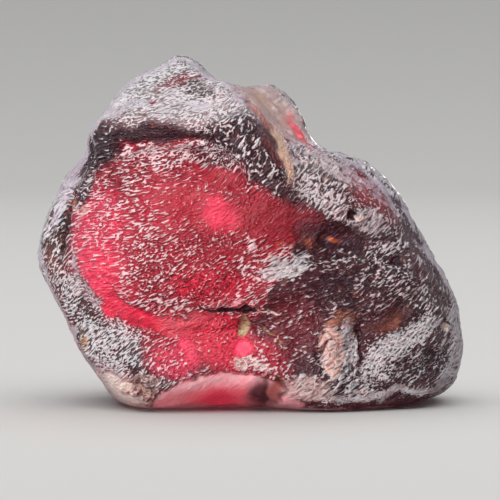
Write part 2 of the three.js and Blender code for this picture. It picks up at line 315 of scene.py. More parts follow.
patches = [
    # broad grounds
    dict(name="darkHalf", at=(8.0, -2, 8.9), size=(7.3, 16, 12.5), edge=0.07, tone=("plum", 0.97),
         frostAndGlint=0.34, dash=0.8),
    dict(name="darkTop", at=(-3.6, -1, 20.2), size=(7.6, 12, 3.5), edge=0.1, tone=("nearBlack", 0.95)),
    dict(name="darkRim", at=(-12.6, -1, 10.0), size=(1.5, 9, 8.0), edge=0.2, tone=("plum", 0.8), frostAndGlint=0.5),
    # the peak and the brow under it
    dict(name="peakFace", at=(-5.0, -3.5, 19.9), size=(6.0, 6, 2.5), edge=0.1, frostAndGlint=0.6,
         tone=("chalkGrey", 0.9), grain=0.8, dash=0.7, etch=0.5),
    dict(name="tipRed", at=(-4.2, -2.5, 21.1), size=(1.7, 3, 0.5), turn=20, frostAndGlint=0.46, tone=("blood", 0.9),
         etch=0.9),
    dict(name="tipGrey", at=(-3.2, -3, 20.4), size=(1.0, 3, 0.55), turn=-20, frostAndGlint=0.5, tone=("slate", 0.8),
         etch=1),
    dict(name="tipPale", at=(-4.8, -1, 22.4), size=(2.6, 4, 0.8), frostAndGlint=0.66, tone=("ash", 0.9)),
    dict(name="peakFoot", at=(-8.0, -4, 18.5), size=(1.9, 4, 0.55), turn=8, edge=0.5, frostAndGlint=0.58,
         tone=("wine", 0.5)),
    dict(name="upperRim", at=(-10.9, -3, 15.6), size=(3.2, 6, 0.9), turn=55, edge=0.3, tone=("plum", 0.9),
         frostAndGlint=0.36),
    # painted shadow: the brow's dark band lies under the peak's overhang
    dict(name="browLeft", at=(-9.7, -5, 16.4), size=(2.2, 4, 1.3), turn=50, edge=0.3, tone=("nearBlack", 0.9),
         frostAndGlint=0.22),
    dict(name="browMid", at=(-6.3, -5, 17.5), size=(2.8, 4, 0.75), turn=2, edge=0.3, tone=("nearBlack", 1.0),
         frostAndGlint=0.1),
    dict(name="browRight", at=(-3.9, -6, 17.05), size=(3.0, 4, 0.5), turn=-5, tone=("nearBlack", 1.0),
         frostAndGlint=0.06, etch=0.6),
    # the red cushion
    dict(name="cushion", at=(-4.6, -6, 10.6), size=(7.5, 6, 6.4), edge=0.03, tone=("crimson", 1.0),
         frostAndGlint=0.48, dash=1.1, grain=0.82),
    dict(name="cushionTop", at=(-5.4, -6, 16.2), size=(3.3, 4, 0.8), turn=6, edge=0.3, frostAndGlint=0.63,
         tone=("crimson", 0.9), dash=0.7),
    dict(name="cushionCorner", at=(-2.2, -6.5, 16.3), size=(1.6, 4, 0.85), turn=-25, frostAndGlint=0.5,
         tone=("plum", 0.8), dash=0.6),
    dict(name="cushionShoulder", at=(-9.3, -5.5, 14.4), size=(2.8, 4, 1.3), turn=20, frostAndGlint=0.38,
         tone=("blood", 0.6), dash=1.2),
    dict(name="cushionLeft", at=(-9.7, -5.5, 11.3), size=(2.2, 4, 2.7), frostAndGlint=0.44, tone=("glow", 1.0),
         dash=1.5, etch=0.75),
    dict(name="leftGlow", at=(-9.8, -6, 8.6), size=(1.9, 4, 1.7), turn=20, edge=0.8, tone=("glow", 1.0),
         frostAndGlint=0.28, etch=0.55),
    dict(name="glowFoot", at=(-9.7, -6, 7.6), size=(1.3, 4, 0.8), turn=-35, edge=0.5, frostAndGlint=0.16,
         tone=("glow", 1.0), etch=0.4),
    dict(name="cushionMid", at=(-6.7, -7, 9.6), size=(1.9, 4, 2.2), frostAndGlint=0.44, tone=("plum", 0.1),
         dash=0.55),
    dict(name="heartField", at=(-3.5, -7, 13.0), size=(2.9, 3, 1.7), turn=-12, edge=0.65,
         tone=("blood", 0.45), frostAndGlint=0.26, etch=0.4, dash=0.6),
    dict(name="heartTop", at=(-2.2, -7, 14.7), size=(1.7, 3, 0.6), turn=-20, edge=0.7, tone=("blood", 0.8),
         frostAndGlint=0.2, etch=0.5),
    dict(name="heart", at=(-1.8, -8, 12.5), size=(1.1, 3, 0.85), turn=-20, edge=0.5, frostAndGlint=0.08,
         tone=("glow", 0.75), etch=0.3),
    dict(name="underHeart", at=(-2.5, -8, 10.3), size=(1.8, 3, 1.3), edge=0.6, frostAndGlint=0.34,
         tone=("blood", 0.45), dash=0.5, etch=0.8, grain=0.8),
    dict(name="midLow", at=(-2.4, -8, 8.1), size=(2.4, 3, 1.0), edge=0.5, frostAndGlint=0.32,
         tone=("scarlet", 0.85), dash=0.5),
    dict(name="redGroove", at=(-7.2, -7, 6.0), size=(2.8, 4, 0.6), turn=-22, edge=0.35, tone=("glow", 0.45),
         frostAndGlint=0.14, etch=0.35),
    dict(name="grooveRight", at=(-3.5, -7, 5.4), size=(2.3, 4, 0.9), turn=-8, tone=("rose", 0.5), frostAndGlint=0.2,
         etch=0.4, dash=0.5),
    # the left rim and the shelf
    dict(name="leftRim", at=(-12.8, -3, 10.6), size=(0.8, 4, 3.0), turn=8, edge=0.3, tone=("clay", 0.3),
         frostAndGlint=0.5),
    dict(name="slateSpot", at=(-12.0, -3, 11.7), size=(0.5, 4, 0.7), tone=("nearBlack", 0.9), frostAndGlint=0.5),
    dict(name="rustSpot", at=(-11.0, -3, 13.2), size=(0.6, 3, 0.35), edge=0.5, stain=("rust", 0.6)),
    dict(name="creamSpot", at=(-10.9, -3, 12.6), size=(0.55, 3, 0.35), turn=20, edge=0.5,
         stain=("chalk", 0.7)),
    dict(name="flank", at=(-10.9, -5, 6.9), size=(2.3, 4, 1.1), turn=-50, edge=0.3, frostAndGlint=0.66,
         tone=("slate", 0.85), grain=0.8, dash=0.6),
    dict(name="flankShade", at=(-10.1, -5, 6.2), size=(1.2, 4, 0.45), turn=-45, tone=("plum", 0.8),
         frostAndGlint=0.4),
    dict(name="leftShelf", at=(-8.6, -6, 4.4), size=(2.9, 4, 1.2), turn=-20, edge=0.25, tone=("slate", 0.8),
         frostAndGlint=0.63, dash=0.9, etch=0.8, grain=0.85),
    dict(name="shelfFoot", at=(-9.3, -5.5, 3.1), size=(1.7, 4, 0.9), turn=-30, frostAndGlint=0.68,
         tone=("slate", 0.8), grain=0.8, dash=0.7),
    dict(name="shelfEnd", at=(-5.6, -7, 4.2), size=(1.4, 3, 0.8), turn=-20, tone=("crimson", 0.7),
         frostAndGlint=0.42),
    dict(name="lowCushion", at=(-5.0, -7, 3.3), size=(1.5, 4, 1.1), turn=5, edge=0.5, frostAndGlint=0.42,
         tone=("glow", 1.0), dash=0.6, etch=0.8),
    dict(name="redLow", at=(-1.9, -7, 4.5), size=(2.0, 4, 1.9), frostAndGlint=0.24, tone=("scarlet", 0.8), etch=0.6,
         dash=0.5),
    dict(name="pinkFacet", at=(-3.8, -7, 3.8), size=(1.2, 3, 0.45), turn=-65, edge=0.6, frostAndGlint=0.15,
         tone=("glow", 0.9), etch=0.5),
    # the outline's pale band: partly wear, partly a painted rim highlight
    dict(name="belt", frostAndGlint=0.85, tone=("lilac", 0.8), etch=0.3, stain=("lavender", 0.5)),
    dict(name="notch", at=(-10.0, -4, 15.8), size=(1.4, 4, 0.5), turn=55, tone=("nearBlack", 0.9), frostAndGlint=0.26,
         etch=0.9, stained=0),
    dict(name="innerRim", at=(-10.6, -4, 14.1), size=(1.6, 4, 0.5), turn=67, tone=("plum", 0.9), frostAndGlint=0.42,
         etch=0.9, stained=0),
    dict(name="leftBand", at=(-11.8, -2, 14.0), size=(2.9, 5, 0.42), turn=67, tone=("lilac", 0.8),
         frostAndGlint=0.7, etch=0.4, stain=("lavender", 0.55)),
    dict(name="rimCorner", at=(12.7, -4.5, 2.2), size=(1.6, 5, 0.5), turn=58, tone=("slate", 0.7),
         frostAndGlint=0.85, etch=0.7),
    dict(name="corner", at=(-8.2, -6, 1.3), size=(2.0, 4, 0.9), turn=-35, edge=0.35, stain=("ivory", 0.95),
         etch=0.25),
    dict(name="tanSpot", at=(-10.7, -5, 4.5), size=(0.3, 3, 0.7), turn=20, edge=0.6, stain=("ochre", 0.6)),
    dict(name="wartGround", at=(-6.7, -7, 1.6), size=(1.5, 3, 0.8), turn=-20, edge=0.5,
         stain=("chalk", 0.5)),
    # the knuckle and the pale facet
    dict(name="knuckle", at=(0.0, -6.5, 16.9), size=(2.4, 4, 1.3), turn=-35, edge=0.3, tone=("nearBlack", 1.0),
         frostAndGlint=0.44, etch=1.3, grain=1.5, dash=0.7),
    dict(name="knuckleFoot", at=(0.8, -6.5, 15.3), size=(1.8, 4, 0.95), turn=-40, edge=0.3,
         tone=("nearBlack", 0.95), frostAndGlint=0.43, etch=1.3, grain=1.3),
    dict(name="paleFacet", at=(1.6, -1.2, 19.2), size=(3.0, 3.8, 2.2), turn=-45, edge=0.45,
         stain=("shell", 0.9), frostAndGlint=0.05, etch=0.28, grain=1.4),
    dict(name="facetCream", at=(0.8, -3, 19.8), size=(1.0, 4, 0.35), turn=-35, edge=0.6,
         stain=("ochre", 0.45), etch=0.15),
    dict(name="facetPink", at=(2.8, -1.5, 18.1), size=(1.3, 4, 0.55), turn=-60, edge=0.5,
         stain=("brick", 0.45), etch=0.15),
    dict(name="facetRed", at=(3.2, -1.5, 17.8), size=(1.4, 4, 0.22), turn=-62, edge=0.7,
         stain=("scarlet", 0.78), etch=0.15),
    dict(name="ridgeShade", at=(1.4, -6, 16.9), size=(1.5, 4, 0.55), turn=-65, edge=0.3, tone=("nearBlack", 0.8),
         frostAndGlint=0.0, stain=("liver", 1.0), etch=0.4),
    dict(name="gullyRust", at=(2.15, -6.5, 16.3), size=(2.1, 4, 0.3), turn=-72, edge=0.5,
         stain=("sand", 0.85), etch=0.4),
    dict(name="seamRust", at=(0.5, -6, 18.9), size=(1.3, 4, 0.14), turn=-48, edge=0.5,
         stain=("rust", 0.55)),
    # the middle
    dict(name="redTongue", at=(1.6, -7.5, 12.3), size=(2.8, 4, 1.2), turn=-12, edge=0.5,
         tone=("blood", 0.95), frostAndGlint=0.1, etch=0.5, dash=0.7),
    dict(name="ochreSlope", at=(1.6, -7, 10.3), size=(1.7, 3, 0.6), turn=22, edge=0.6,
         stain=("rust", 0.25)),
    dict(name="crest", at=(2.2, -7, 9.2), size=(1.7, 4, 0.55), turn=16, edge=0.35, frostAndGlint=0.9,
         tone=("slate", 0.7), etch=0.8),
    dict(name="crestRight", at=(5.6, -6.5, 9.6), size=(1.7, 4, 0.5), turn=12, edge=0.35, frostAndGlint=0.5),
    dict(name="plumMiddle", at=(2.6, -7.5, 5.4), size=(1.7, 4, 2.2), tone=("wine", 0.5), frostAndGlint=0.3,
         dash=0.6),
    dict(name="olivePit", at=(-0.3, -7.5, 5.5), size=(0.32, 2, 0.62), edge=0.3, stain=("olive", 0.68)),
    dict(name="oliveHeel", at=(-0.5, -7.5, 5.0), size=(0.5, 2, 0.26), turn=40, edge=0.3,
         stain=("olive", 0.68)),
    dict(name="redSpot", at=(-0.5, -7.5, 4.0), size=(0.6, 3, 0.4), frostAndGlint=0.0, tone=("glow", 1.0), etch=0.1),
    dict(name="oliveRim", at=(0.1, -8, 3.15), size=(1.3, 3, 0.32), turn=-8, edge=0.6, stain=("cream", 0.55),
         frostAndGlint=0.6, etch=0.5),
    # the strip's bright pink is partly painted glow on a face that turns down into shade
    dict(name="strip", at=(-1.4, -7, 0.3), size=(4.8, 3, 2.45), edge=0.05, tone=("rose", 1.0), frostAndGlint=0.3,
         etch=0.1, stain=("blush", 0.7)),
    dict(name="stripRed", at=(-1.8, -7, 0.6), size=(1.8, 3, 1.0), edge=0.7, stain=("glow", 0.95)),
    dict(name="stripDark", at=(0.6, -7, 1.1), size=(0.75, 3, 1.1), edge=0.6, stain=("nearBlack", 0.95)),
    dict(name="stripLobe", at=(1.6, -7.5, 1.5), size=(1.0, 3, 0.42), turn=75, edge=0.5,
         stain=("brick", 0.95)),
    dict(name="stripEnd", at=(3.7, -7, 1.5), size=(1.6, 3, 0.8), turn=-8, stain=("shell", 0.65), frostAndGlint=0.6,
         etch=0.5),
    # the right half
    dict(name="shoulder", at=(6.0, -5.5, 14.3), size=(4.3, 4.5, 2.0), turn=-35, edge=0.2, frostAndGlint=0.42,
         grain=1.0, tone=("wine", 0.2)),
    dict(name="shoulderGrey", at=(4.5, -6, 13.6), size=(2.0, 4, 0.9), turn=-38, frostAndGlint=0.68,
         tone=("slate", 0.8), dash=0.7, etch=0.8),
    dict(name="shoulderTop", at=(4.6, -3, 15.4), size=(2.4, 6, 0.9), turn=-25, edge=0.5, frostAndGlint=0.62,
         stain=("chalk", 0.3), tone=("slate", 0.7)),
    dict(name="shoulderRed", at=(7.7, -5, 13.9), size=(2.2, 4, 0.9), turn=-48, edge=0.5,
         tone=("blood", 0.8), frostAndGlint=0.38, grain=1.3),
    dict(name="shoulderFoot", at=(7.6, -5, 11.6), size=(1.7, 4, 1.1), turn=-35, frostAndGlint=0.84,
         tone=("slate", 0.7), etch=0.7),
    # partly painted shade: the hollow faces down under the shoulder
    dict(name="darkHollow", at=(5.7, -6, 11.0), size=(2.9, 4, 0.85), turn=-14, edge=0.35,
         tone=("nearBlack", 0.9), frostAndGlint=0.08, etch=0.6),
    dict(name="hollowRight", at=(8.7, -6, 10.3), size=(1.4, 4, 0.9), frostAndGlint=0.52, tone=("nearBlack", 0.8)),
    dict(name="darkMiddle", at=(5.5, -6, 7.9), size=(1.8, 4, 1.2), turn=4, tone=("nearBlack", 0.9), frostAndGlint=0.26),
    dict(name="flecked", at=(8.6, -6, 8.4), size=(1.8, 4, 1.1), frostAndGlint=0.46, tone=("nearBlack", 0.8)),
    dict(name="plumSlope", at=(10.8, -5.5, 6.8), size=(1.2, 4, 0.9), turn=20, tone=("nearBlack", 0.7),
         frostAndGlint=0.5),
    dict(name="slantRidge", at=(9.6, -6, 4.4), size=(3.1, 4, 0.68), turn=28, edge=0.3, tone=("slate", 0.8),
         frostAndGlint=0.84, dash=0.6, etch=0.9, grain=0.8),
    dict(name="slantFoot", at=(7.9, -6, 2.7), size=(1.2, 4, 0.9), frostAndGlint=0.75, tone=("slate", 0.7), dash=0.6,
         etch=0.8, grain=0.8),
    dict(name="umberValley", at=(8.8, -5.5, 5.6), size=(1.7, 4, 0.5), turn=34, edge=0.6,
         stain=("umber", 1.0), frostAndGlint=0.05, etch=0.5),
    dict(name="valleyRust", at=(8.9, -5.5, 5.3), size=(1.2, 4, 0.2), turn=34, edge=0.6,
         stain=("rust", 0.22)),
    dict(name="darkFoot", at=(10.3, -5.5, 2.9), size=(2.2, 4, 0.8), turn=20, edge=0.35, tone=("nearBlack", 0.9),
         frostAndGlint=0.48),
    dict(name="footLeft", at=(6.6, -6, 2.0), size=(1.4, 4, 0.8), tone=("nearBlack", 0.8), frostAndGlint=0.68),
    dict(name="footRim", at=(8.2, -6, 1.1), size=(4.4, 4, 0.32), turn=4, edge=0.3, tone=("slate", 0.7),
         frostAndGlint=0.95, dash=0.7, etch=0.45, grain=0.8),
    dict(name="underRim", at=(8.6, -5, 0.1), size=(4.8, 4, 0.5), turn=3, edge=0.3, tone=("plum", 1.0),
         frostAndGlint=0.08),
    dict(name="rightRim", at=(13.5, -3.5, 4.6), size=(0.7, 5, 4.4), edge=0.6, tone=("slate", 0.6),
         frostAndGlint=0.85, etch=0.8, grain=0.8),
    dict(name="peachSilver", at=(6.35, -7, 4.2), size=(0.7, 3, 1.6), turn=3, edge=0.3, tone=("slate", 0.8),
         frostAndGlint=0.92, dash=0.6),
    dict(name="peachPatch", at=(5.15, -7.3, 3.9), size=(0.8, 3, 1.7), turn=5, edge=0.3,
         stain=("peach", 0.62), frostAndGlint=0.75, etch=0.6),
    dict(name="orangeTop", at=(5.7, -7, 6.0), size=(1.1, 3, 0.6), edge=0.6, stain=("clay", 0.6), etch=1.1),
    dict(name="orangeSpot", at=(5.2, -6, 10.8), size=(0.5, 3, 0.25), edge=0.7, stain=("rust", 0.6)),
    # the back and the sides
    dict(name="backWindow", at=(-4.5, 8, 9.0), size=(4.4, 6, 3.2), turn=25, tone=("scarlet", 0.9),
         frostAndGlint=0.3, dash=0.8),
    dict(name="backGlow", at=(-5.6, 8, 8.0), size=(2.2, 6, 1.3), turn=30, edge=0.6, tone=("glow", 0.9),
         frostAndGlint=0.14, etch=0.5, dash=0.6),
    dict(name="backSilver", at=(-1.5, 7, 15.6), size=(5.5, 6, 1.7), turn=14, tone=("slate", 0.8), frostAndGlint=0.7,
         grain=0.9, dash=0.8),
    dict(name="backDark", at=(3.2, 8, 10.4), size=(3.4, 6, 2.2), turn=-35, tone=("nearBlack", 0.9), frostAndGlint=0.3,
         grain=1.4),
    dict(name="backCrest", at=(7.0, 7, 6.6), size=(4.4, 6, 0.9), turn=38, tone=("slate", 0.8), frostAndGlint=0.82,
         etch=0.8, dash=0.7),
    dict(name="backFoot", at=(4.0, 7, 2.6), size=(5.0, 6, 1.3), turn=8, tone=("wine", 0.7), frostAndGlint=0.5,
         grain=0.8),
    dict(name="backCorner", at=(-9.2, 6, 3.0), size=(2.6, 5, 1.5), turn=-30, edge=0.5,
         stain=("chalk", 0.55), frostAndGlint=0.55, dash=0.7),
    dict(name="backRust", at=(0.4, 8, 6.4), size=(1.9, 6, 0.8), turn=30, edge=0.6, stain=("clay", 0.5)),
    dict(name="backPale", at=(8.6, 6, 11.0), size=(1.8, 6, 0.9), turn=-55, edge=0.5, stain=("shell", 0.6),
         etch=0.7),
    dict(name="leftSide", at=(-13.0, 2, 6.5), size=(3.5, 4, 3.0), edge=0.5, tone=("slate", 0.7), frostAndGlint=0.6,
         dash=0.7),
    dict(name="rightSide", at=(13.0, 2, 6.0), size=(3.0, 4, 3.5), edge=0.5, tone=("plum", 0.8), frostAndGlint=0.55),
    dict(name="rightSideRed", at=(12.4, 2, 10.6), size=(2.0, 4, 1.6), edge=0.6, tone=("blood", 0.8),
         frostAndGlint=0.34),
    # once more the dark hollow of the right half
    dict(name="orangeDrip", at=(3.6, -6.8, 10.6), size=(0.3, 3, 0.5), edge=0.7, stain=("rust", 0.35)),
]

grooves = [  # grooves and ridges: points across the front or back, half width, rise, and what stains them
    dict(name="crack", path=[(-1.7, 6.6), (-0.6, 6.5), (0.3, 6.5)], width=0.1, rise=-0.4,
         stain=("nearBlack", 0.95)),
    dict(name="crackStart", path=[(-3.2, 6.75), (-2.5, 6.6), (-1.7, 6.6)], width=0.065, rise=-0.25,
         stain=("umber", 0.95)),
    dict(name="lobeEdge", path=[(1.1, 0.6), (0.95, 1.6), (1.25, 2.5), (1.8, 2.2), (2.2, 1.4), (1.9, 0.6)],
         width=0.1, rise=-0.2, stain=("umber", 0.6)),
    dict(name="crackTail", path=[(0.3, 6.5), (1.2, 6.4), (2.1, 6.3)], width=0.05, rise=0.06,
         stain=("cream", 0.65)),
    dict(name="crackLip", path=[(-2.4, 6.95), (-1.2, 6.9), (-0.5, 7.15), (0.2, 6.8)], width=0.14,
         rise=0.14, stain=("rose", 0.5)),
    dict(name="brownSeam", path=[(0.7, 5.5), (1.4, 5.0), (2.1, 4.3)], width=0.13, rise=-0.14,
         stain=("ochre", 0.5)),
    dict(name="crevice", path=[(7.1, 5.3), (7.0, 4.2), (6.95, 2.9)], width=0.13, rise=-0.4,
         stain=("nearBlack", 0.9)),
    dict(name="peachSplit", path=[(4.4, 3.8), (4.85, 4.5)], width=0.1, rise=-0.3, stain=("nearBlack", 0.9)),
    dict(name="peachCrack", path=[(4.6, 5.3), (5.1, 4.8), (5.75, 4.3)], width=0.06, rise=-0.15,
         stain=("clay", 0.7)),
    dict(name="peachEdge", path=[(4.5, 5.0), (4.3, 3.9), (4.5, 2.6)], width=0.16, rise=-0.2),
    dict(name="stripLip", path=[(-5.7, 1.6), (-3.4, 2.6), (-1.5, 2.95), (0.4, 2.9), (2.2, 2.2)],
         width=0.22, rise=0.16),
    dict(name="browEdge", path=[(-9.3, 18.2), (-8.0, 18.4), (-6.0, 18.4), (-3.5, 18.0), (-1.5, 17.4)],
         width=0.35, rise=0.25),
    dict(name="browGroove", path=[(-9.9, 15.8), (-8.7, 16.3), (-7.3, 16.9), (-5.4, 17.15), (-3.0, 17.0)],
         width=0.32, rise=-0.42),
    dict(name="cushionRim", path=[(-9.7, 15.0), (-8.5, 15.5), (-7.0, 16.1), (-5.2, 16.4), (-3.0, 16.3)],
         width=0.36, rise=0.25),
    dict(name="goldCrease", path=[(-11.6, 12.6), (-12.1, 11.0), (-12.3, 9.3)], width=0.16, rise=-0.3,
         stain=("umber", 0.7)),
    dict(name="shelfGroove", path=[(-11.0, 5.9), (-9.6, 5.6), (-8.4, 5.3)], width=0.2, rise=-0.2),
    dict(name="backCrack", back=True, path=[(3.6, 14.8), (2.3, 12.2), (2.9, 9.6), (1.3, 6.8)], width=0.13,
         rise=-0.4, stain=("nearBlack", 0.9)),
    dict(name="backFork", back=True, path=[(2.9, 9.6), (4.4, 8.4), (5.2, 6.6)], width=0.1, rise=-0.25,
         stain=("umber", 0.8)),
    dict(name="backLedge", back=True, path=[(-10.5, 12.8), (-7.0, 12.9), (-3.0, 13.8), (0.6, 13.4)],
         width=0.55, rise=0.4),
    dict(name="backStep", back=True, path=[(-10.5, 11.6), (-7.0, 11.8), (-3.0, 12.6), (0.6, 12.2)],
         width=0.5, rise=-0.4, stain=("wine", 0.4)),
    dict(name="backSpine", back=True, path=[(3.2, 4.0), (7.0, 6.8), (10.0, 9.2)], width=0.9, rise=0.4),
    dict(name="backValley", back=True, path=[(2.0, 5.4), (5.4, 8.0), (8.6, 10.8)], width=0.8, rise=-0.35),
    dict(name="facetSeam", path=[(-0.2, 19.6), (0.6, 18.6), (1.4, 17.9)], width=0.14, rise=-0.25,
         stain=("umber", 0.5)),
]

marks = [  # pits and warts: place, radius, rise, and what stains them
    dict(name="tipWear", at=(-4.6, -1.5, 22.6), size=2.2, rise=-0.2),
    dict(name="facetWear", at=(3.4, -1.0, 18.8), size=1.7, rise=-0.25),
    dict(name="shoulderWear", at=(10.9, -2.0, 11.2), size=2.6, rise=-0.18),
    dict(name="crackHole", at=(-0.25, -8.1, 6.5), size=0.3, rise=-0.5, stain=("nearBlack", 1.0)),
    dict(name="oliveHollow", at=(-0.4, -7.6, 5.4), size=0.5, rise=-0.3),
    dict(name="whiteGrain", at=(-0.4, -8.2, 7.6), size=0.16, rise=0.1, stain=("cream", 1.0)),
    dict(name="rightPit", at=(9.3, -5.3, 9.6), size=0.4, rise=-0.5, stain=("nearBlack", 0.9)),
    dict(name="shoulderPit", at=(6.5, -6.7, 12.4), size=0.3, rise=-0.5, stain=("nearBlack", 0.95)),
    dict(name="shoulderGrain", at=(7.0, -6.4, 12.3), size=0.22, rise=0.12, stain=("cream", 0.9)),
    dict(name="peakPit", at=(-6.2, -4.1, 19.6), size=0.27, rise=-0.25, stain=("blood", 0.9)),
    dict(name="peakPit2", at=(-7.3, -3.6, 20.3), size=0.24, rise=-0.2, stain=("blood", 0.7)),
    dict(name="peakPit3", at=(-3.9, -3.5, 19.6), size=0.15, rise=-0.15, stain=("wine", 0.8)),
    dict(name="peakPit4", at=(-6.35, -4.3, 19.1), size=0.13, rise=-0.12, stain=("blood", 0.9)),
    dict(name="peakPit5", at=(-7.6, -4.2, 18.7), size=0.18, rise=-0.15, stain=("wine", 0.8)),
    dict(name="peakRust", at=(-1.9, -5.2, 18.2), size=0.24, rise=-0.15, stain=("rust", 0.7)),
    dict(name="hollowPit", at=(4.7, -6.2, 11.0), size=0.4, rise=-0.25),
    dict(name="chipHollow", at=(12.3, -4.0, 5.4), size=0.42, rise=-0.3, stain=("ochre", 0.4)),
    dict(name="chipPearl", at=(12.6, -3.9, 5.1), size=0.26, rise=0.2, stain=("cream", 0.8)),
    dict(name="wart1", at=(-6.4, -7.5, 1.1), size=0.42, rise=0.45, stain=("clay", 0.35), ringed=True),
    dict(name="wart2", at=(-7.2, -7.2, 1.4), size=0.38, rise=0.4, stain=("clay", 0.35), ringed=True),
    dict(name="wart3", at=(-5.9, -7.6, 1.4), size=0.32, rise=0.4, stain=("umber", 0.3), ringed=True),
    dict(name="wart4", at=(-7.9, -6.8, 1.5), size=0.36, rise=0.3, stain=("clay", 0.3), ringed=True),
    dict(name="wart5", at=(-7.2, -7.3, 2.2), size=0.44, rise=0.34, stain=("umber", 0.25), ringed=True),
    dict(name="wart6", at=(-6.3, -7.7, 2.1), size=0.3, rise=0.24, stain=("umber", 0.3), ringed=True),
    dict(name="wart7", at=(-6.9, -7.2, 0.6), size=0.3, rise=0.26, stain=("clay", 0.3), ringed=True),
    dict(name="backHollow", back=True, at=(-6.6, 0, 5.6), size=1.7, rise=-0.35),
    dict(name="backChip", back=True, at=(8.4, 0, 10.6), size=0.9, rise=-0.35),
    dict(name="backPit", back=True, at=(-1.4, 0, 9.6), size=0.4, rise=-0.4, stain=("nearBlack", 0.9)),
    dict(name="backPit2", back=True, at=(-8.4, 0, 9.8), size=0.3, rise=-0.3, stain=("wine", 0.9)),
    dict(name="backPit3", back=True, at=(-2.2, 0, 17.2), size=0.32, rise=-0.25, stain=("blood", 0.9)),
    dict(name="backPit4", back=True, at=(6.2, 0, 3.2), size=0.45, rise=-0.35, stain=("nearBlack", 0.8)),
    dict(name="backPit5", back=True, at=(-4.2, 0, 16.0), size=0.24, rise=-0.2, stain=("wine", 0.8)),
    dict(name="crumb1", at=(-3.5, -7.9, 2.3), size=0.26, rise=0.16, stain=("umber", 0.5)),
    dict(name="crumb2", at=(-3.1, -7.9, 2.6), size=0.18, rise=0.14, stain=("rust", 0.4)),
]

fineSpots = [  # where the mesh is twice as fine: place and reach
    ((0.0, -6.5, 16.8), 2.6), ((1.2, -6.5, 15.0), 1.6), ((1.0, -5.0, 18.6), 1.6), ((-1.6, -8, 6.8), 1.9),
    ((0.6, -8, 6.2), 1.8), ((-0.3, -7.8, 5.0), 1.4), ((5.8, -7, 4.2), 2.2), ((6.7, -6.7, 12.4), 1.0),
    ((-6.6, -7.3, 1.7), 1.4), ((-6.6, -4, 19.6), 1.2), ((12.4, -4, 5.2), 0.9),
]


def fade(value, low, high):
    share = min(max((value - low) / (high - low), 0), 1)
    return share * share * (3 - 2 * share)


def lineDistance(x, z, points):
    least = math.inf
    for (ax, az), (bx, bz) in zip(points, points[1:]):
        dx, dz = bx - ax, bz - az
        share = min(max(((x - ax) * dx + (z - az) * dz) / (dx * dx + dz * dz), 0), 1)
        least = min(least, math.hypot(x - ax - share * dx, z - az - share * dz))
    return least


def scalesAt(place):
    total = weights = 0
    waves, sway = stone["bend"]
    sharp, sunk = stone["fold"]
    for angle, middle, reach in stone["flows"]:
        weight = math.exp(-((place - Vector(middle)).length / reach) ** 2)
        if weight < stone["faint"]:
            continue
        cos, sin = math.cos(math.radians(angle)), math.sin(math.radians(angle))
        along = place.x * cos + place.z * sin
        across = place.z * cos - place.x * sin
        bend = noise.noise(place * waves) * sway
        height = 0
        for number, (length, width, rise) in enumerate(stone["scales"]):
            deep = place.y / width * stone["scaleDepth"]
            spot = Vector((along / length, deep, (across + bend) / width + stone["layerGap"] * number))
            fold = 1 - sharp * abs(noise.noise(spot))
            height += rise * (fold - sunk)
        total += weight * height
        weights += weight
    return total / weights if weights else 0


def patchShare(place, patch):
    angle = math.radians(patch.get("turn", 0))
    x, y, z = place
    atX, atY, atZ = patch["at"]
    length, deep, high = patch["size"]
    edge = patch.get("edge", stone["edge"])
    outer = 1 + edge
    if max(abs(x - atX), abs(z - atZ)) > max(length, high) * outer:
        return 0
    along = (x - atX) * math.cos(angle) + (z - atZ) * math.sin(angle)
    across = (z - atZ) * math.cos(angle) - (x - atX) * math.sin(angle)
    away = math.hypot(along / length, (y - atY) / deep, across / high)
    return 1 - fade(away, 1 - edge, outer)


def mixed(a, b, share):
    return [one + (two - one) * share for one, two in zip(a, b)]


def groundAt(place):
    ground = stone["ground"]
    shifts = [Vector((ground["gap"] * number, 0, 0)) for number in range(4)]
    plum, scarlet, frostAndGlint, etch = [noise.noise(place / ground["zone"] + shift) for shift in shifts]
    tone = mixed(tones["crimson"], tones["scarlet"], fade(scarlet, *ground["scarlet"]))
    tone = mixed(tone, tones["plum"], fade(plum, *ground["plum"]))
    look = {"tone": tone, "stain": tones["rust"], "stained": 0}
    for key, drift in (("frostAndGlint", frostAndGlint), ("etch", etch), ("grain", scarlet), ("dash", etch)):
        middle, reach = ground[key]
        look[key] = middle + reach * drift
    return look


def beltShare(place, normal):
    belt = stone["belt"]
    lean = belt["lean"] * fade(place.x, *belt["leanEnds"])
    turned = fade(normal.y - lean, *belt["front"]) * (1 - fade(normal.y, *belt["back"]))
    return turned * fade(noise.noise(place * belt["waves"]), *belt["worn"])


def looksAt(place, normal):
    (slow, far), (quick, near) = stone["wanderWaves"]
    wander = noise.noise_vector(place * slow) * far + noise.noise_vector(place * quick) * near
    spot = place + wander * stone["wander"]
    waves, reach = stone["fray"]
    front = 1 - fade(place.y + noise.noise(place * waves) * reach, *stone["frontEnds"])
    look = groundAt(place)
    for patch in patches:
        if patch["name"] == "belt":
            share = beltShare(place, normal)
        else:
            share = patchShare(spot, patch) * (1 - front if patch["at"][1] > 0 else front)
        if share == 0:
            continue
        for key in ("frostAndGlint", "etch", "grain", "dash", "stained"):
            if key in patch:
                look[key] += (patch[key] - look[key]) * share
        if "tone" in patch:
            name, strength = patch["tone"]
            look["tone"] = mixed(look["tone"], tones[name], share * strength)
        addStain(look, patch, share)
    return look


def addStain(look, mark, share):
    if "stain" in mark and share > stone["tiny"]:
        name, strength = mark["stain"]
        share *= strength
        total = share + look["stained"] * (1 - share)
        look["stain"] = mixed(look["stain"], tones[name], share / total)
        look["stained"] = total


